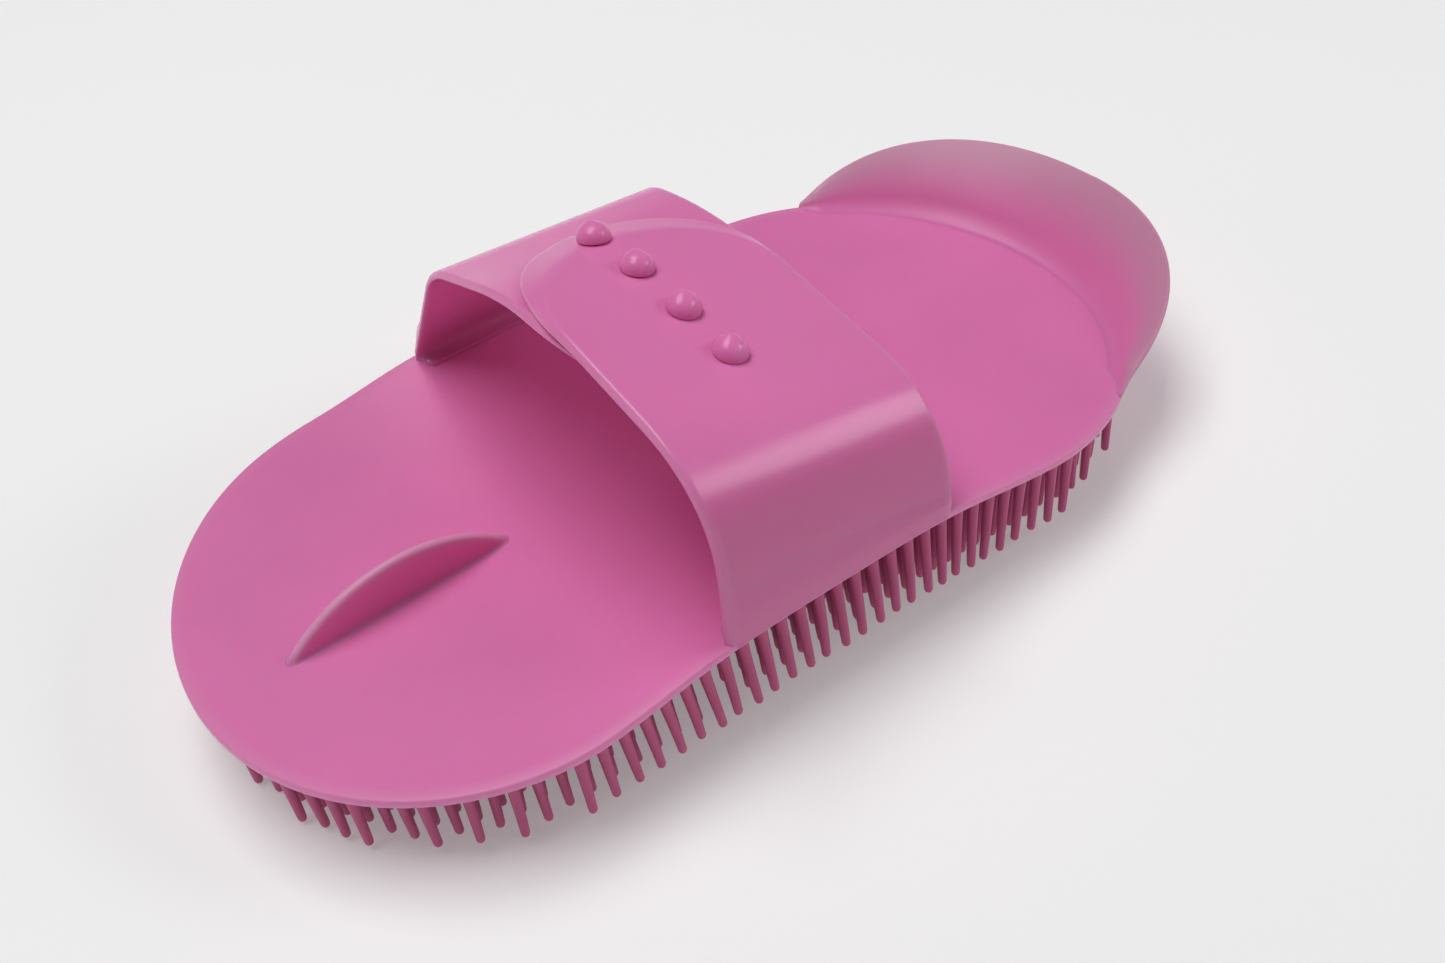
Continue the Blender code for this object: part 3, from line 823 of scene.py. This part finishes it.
def edge_steps():
    """Distances from a rounded edge, close together near it."""
    return [FLAP_EDGE_RADIUS * share for share in EDGE_SHARES]


def flap_xs():
    """Sections across the strap."""
    near = [-STRAP_HALF_WIDTH + step for step in edge_steps()]
    inner = STRAP_HALF_WIDTH - 1.2 * FLAP_EDGE_RADIUS
    sections = range(FLAP_MIDDLE_SECTIONS + 1)
    middle = [-inner * math.cos(math.pi * i / FLAP_MIDDLE_SECTIONS) for i in sections]
    return near + middle + [-x for x in near[::-1]]


# Flaps


def flap_pair(x, place, faces, edge):
    """The outer and inner point of a flap. edge is 0 where its faces meet and 1 well inside."""
    point, _, normal = strap_frame(x, place)
    meeting = mix(faces[1], faces[0], EDGE_MEETING)
    outer, inner = (mix(meeting, face, edge) for face in faces)
    return point + normal * outer, point + normal * inner


def end_drop(distance):
    """How far a tongue's outer face comes down towards its free end."""
    return TONGUE_END_DROP * smooth(1 - distance / TONGUE_END_LENGTH)


def flap_grids(start, faces, tip, corners):
    """The two faces of a flap from a place on the strap line to its rounded free end."""
    upper = []
    lower = []
    for x in flap_xs():
        stop = place_at_y(x, flap_end_y(x, tip, corners))
        # Ten times the last tenth, so that the end's rounding keeps its size.
        length = abs(strap_point(x, stop).y - strap_point(x, mix(start, stop, 0.9)).y) * 10
        tail = [1 - step / max(length, 10 * MM) for step in edge_steps()[::-1]]
        shares = [tail[0] * i / FLAP_STEPS for i in range(FLAP_STEPS)] + tail
        top = []
        bottom = []
        for share in shares:
            place = mix(start, stop, share)
            distance = (strap_point(x, place) - strap_point(x, stop)).length
            edge = rounded(STRAP_HALF_WIDTH - abs(x), FLAP_EDGE_RADIUS)
            edge *= rounded(distance, FLAP_EDGE_RADIUS)
            thinner = (faces[0] - end_drop(distance), faces[1])
            pair = flap_pair(x, place, thinner, edge)
            top.append(pair[0])
            bottom.append(pair[1])
        upper.append(top)
        lower.append(bottom)
    return upper, lower


def flap_thin(tip, corners):
    """Paleness along the side edges and the free end of a flap, as a function of the point."""

    def at(point):
        x = max(-STRAP_HALF_WIDTH, min(STRAP_HALF_WIDTH, point.x))
        side = 1 - (STRAP_HALF_WIDTH - abs(x)) / FLAP_SIDE_PALE_WIDTH
        end = 1 - abs(point.y - flap_end_y(x, tip, corners)) / FLAP_END_PALE_WIDTH
        return FLAP_PALENESS * max(smooth(side), smooth(end))

    return at


def flap_painted_shade(point):
    """How far the painted shade has darkened the strap's colour down its walls."""
    return smooth((abs(point.y) - WALL_PAINTED_SHADE_START) / WALL_PAINTED_SHADE_LENGTH)


def cut_holes(obj):
    """Cuts the buttonholes with round cutters that are removed again."""
    for number in range(STUD_COUNT):
        point, normal = stud_place(number)
        bpy.ops.mesh.primitive_cylinder_add(
            vertices=STUD_SIDES, radius=HOLE_RADIUS, depth=HOLE_CUTTER_LENGTH
        )
        cutter = bpy.context.object
        cutter.rotation_mode = "QUATERNION"
        cutter.rotation_quaternion = normal.to_track_quat("Z", "Y")
        cutter.location = point + SHIFT
        cut = obj.modifiers.new("buttonhole", "BOOLEAN")
        cut.operation = "DIFFERENCE"
        cut.solver = "EXACT"
        cut.object = cutter
        bpy.context.view_layer.objects.active = obj
        bpy.ops.object.modifier_apply(modifier=cut.name)
        bpy.data.objects.remove(cutter)


def root_grids(root_place, seam, faces, side):
    """The two faces of a flap's root, from inside the deck's rim up to the seam on its wall."""
    upper = []
    lower = []
    rim_y = side * (DECK_HALF_WIDTH + ROOT_STANDOFF)
    for x in flap_xs():
        top = []
        bottom = []
        floor = deck_top(x, rim_y)
        for i in range(-SUNK_STEPS, ROOT_STEPS + 1):
            share = max(0, i) / ROOT_STEPS
            place = mix(root_place, seam, share)
            edge = rounded(STRAP_HALF_WIDTH - abs(x), FLAP_EDGE_RADIUS)
            outer, inner = flap_pair(x, place, faces, edge)
            if i < 0:
                outer.z = mix(outer.z, floor - DECK_THICKNESS + RIM_RADIUS, -i / SUNK_STEPS)
                inner.z = mix(inner.z, floor - DECK_THICKNESS / 2, -i / SUNK_STEPS)
            fade = smooth((STRAP_HALF_WIDTH - abs(x)) / ROOT_FADE)
            outer.y = mix(outer.y, rim_y, smooth(1 - share) * fade)
            lift = inner.z - deck_top(x, inner.y)
            inner.y -= side * fillet(max(lift, 0.0), ROOT_FILLET) * fade
            top.append(outer)
            bottom.append(inner)
        upper.append(top)
        lower.append(bottom)
    return upper, lower


def build_flap(side, faces, tip, corners, root_place, seam, names):
    """One flap: a root piece at the deck, and one that runs from its wall over the shoulder to its
    end.
    """
    no_end = NO_END * side
    root = finish_piece(
        names["root"], plate(*root_grids(root_place, seam, faces, side)), strap_plastic,
        [names["wall_node"]], flap_thin(no_end, (no_end, no_end)), painted_shade=flap_painted_shade
    )
    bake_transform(root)
    flap = finish_piece(
        names["flap"], plate(*flap_grids(seam, faces, tip, corners)), strap_plastic,
        [names["tongue_node"]], flap_thin(tip, corners), painted_shade=flap_painted_shade
    )
    if side < 0:
        cut_holes(flap)
    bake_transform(flap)


# Studs


def stud_place(number):
    """The foot of a stud on the inner flap's outer face, and its axis."""
    y = STUD_FIRST_Y + number * STUD_PITCH
    point, _, normal = strap_frame(STUD_X, place_at_y(STUD_X, y))
    return point + normal * STUD_BASE_LIFT, normal


def stud_profile():
    """The turned outline of a stud from its foot to the top of its knob: (radius, height)."""
    radius, height = STUD_BRIM[-1]
    dome = []
    for degrees in STUD_DOME_DEGREES:
        angle = math.radians(degrees)
        dome.append((radius * math.cos(angle), height + STUD_DOME_HEIGHT * math.sin(angle)))
    return [(radius * MM, height * MM) for radius, height in (*STUD_NECK, *STUD_BRIM, *dome)]


def build_stud(number):
    """A neck with a domed knob and a small nub on top of it."""
    point, normal = stud_place(number)
    side = normal.cross(Vector((1.0, 0.0, 0.0))).normalized()
    across = normal.cross(side)
    nub_place = Vector((0.0, 1.0, 0.0)) * NUB_OFFSET
    bm = bmesh.new()
    rings = []
    for radius, height in stud_profile():
        ring = []
        for i in range(STUD_SIDES):
            angle = 2 * math.pi * i / STUD_SIDES
            out = side * math.cos(angle) + across * math.sin(angle)
            nub = NUB_HEIGHT * math.exp(-(((out * radius - nub_place).length / NUB_RADIUS) ** 2))
            ring.append(point + normal * (height + nub * (height > NUB_START)) + out * radius)
        rings.append(ring)
    loft(bm, rings)
    name = f"stud_{number + 1}"
    obj = finish_piece(name + "_button", bm, strap_plastic, [name], None)
    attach(obj, "inner_tongue")


# Stage


def build_stage():
    """A pale round floor that glows more, and then curves up, beyond the reach of the lights."""
    bm = bmesh.new()
    rings = []
    for radius in FLOOR_RADII:
        share = max(0.0, radius - FLOOR_FLAT) / (FLOOR_RADII[-1] - FLOOR_FLAT)
        rise = FLOOR_RIM_RISE * share**2
        angles = (2 * math.pi * i / FLOOR_SIDES for i in range(FLOOR_SIDES))
        rings.append([(radius * math.cos(a), radius * math.sin(a), rise) for a in angles])
    verts = loft(bm, rings, closed=True, caps=False)
    bm.faces.new(verts[0])
    bmesh.ops.recalc_face_normals(bm, faces=bm.faces)
    mesh = bpy.data.meshes.new("floor")
    bm.to_mesh(mesh)
    bm.free()
    mesh.shade_smooth()
    far = mesh.attributes.new("far", "FLOAT", "POINT")
    for i, vert in enumerate(mesh.vertices):
        beyond = vert.co.xy.length - FLOOR_RADII[0]
        far.data[i].value = smooth(beyond / (FLOOR_FLAT - FLOOR_RADII[0]))
    floor = bpy.data.objects.new("floor", mesh)
    bpy.context.scene.collection.objects.link(floor)
    material = bpy.data.materials.new("floor_paper")
    material.use_nodes = True
    shader = material.node_tree.nodes["Principled BSDF"]
    shader.inputs["Base Color"].default_value = FLOOR_COLOR
    shader.inputs["Roughness"].default_value = FLOOR_ROUGHNESS
    shader.inputs["Emission Color"].default_value = WHITE
    tree = material.node_tree
    glow = map_range(tree, attribute(tree, "far"), *FLOOR_GLOW, 0.0, 1.0)
    tree.links.new(glow, shader.inputs["Emission Strength"])
    mesh.materials.append(material)


def add_light(name, direction, distance, size, power):
    """A rectangular softbox that looks at the comb from a direction."""
    light = bpy.data.lights.new(name, "AREA")
    light.shape = "RECTANGLE"
    light.size, light.size_y = size
    light.energy = power
    obj = bpy.data.objects.new(name, light)
    bpy.context.scene.collection.objects.link(obj)
    direction = Vector(direction).normalized()
    obj.location = COMB_MIDDLE + direction * distance
    obj.rotation_euler = direction.to_track_quat("Z", "Y").to_euler()


def build_lights():
    world = bpy.data.worlds.new("studio")
    bpy.context.scene.world = world
    world.use_nodes = True
    background = world.node_tree.nodes["Background"]
    background.inputs["Color"].default_value = WHITE
    background.inputs["Strength"].default_value = WORLD_STRENGTH
    for light in SOFTBOXES:
        add_light(*light)
    bpy.context.scene.view_settings.view_transform = "Standard"


def build_camera():
    camera = bpy.data.cameras.new("camera")
    camera.lens = CAMERA_LENS
    camera.sensor_width = CAMERA_SENSOR
    camera.clip_end = CAMERA_REACH
    obj = bpy.data.objects.new("camera", camera)
    bpy.context.scene.collection.objects.link(obj)
    obj.location = CAMERA_PLACE + SHIFT
    obj.rotation_euler = [math.radians(degrees) for degrees in CAMERA_DEGREES]
    bpy.context.scene.camera = obj


build_deck()
build_teeth()
build_rib()
build_guard()
build_flap(-1, OUTER_FACES, OUTER_TIP_Y, OUTER_CORNER_Y, 0.0, RIGHT_SEAM, {
    "root": "outer_flap_root", "flap": "outer_flap", "wall": "outer_wall", "tongue": "outer_tongue",
    "wall_node": "outer_flap_wall", "tongue_node": "outer_flap_tongue", "joint": "outer_flap_open",
    "bend": OUTER_BEND})
build_flap(1, INNER_FACES, INNER_TIP_Y, INNER_CORNER_Y, LINE_END, LEFT_SEAM, {
    "root": "inner_flap_root", "flap": "inner_flap", "wall": "inner_wall", "tongue": "inner_tongue",
    "wall_node": "inner_flap_wall", "tongue_node": "inner_flap_tongue", "joint": "inner_flap_press",
    "bend": INNER_BEND})
for number in range(STUD_COUNT):
    build_stud(number)
build_stage()
build_lights()
build_camera()
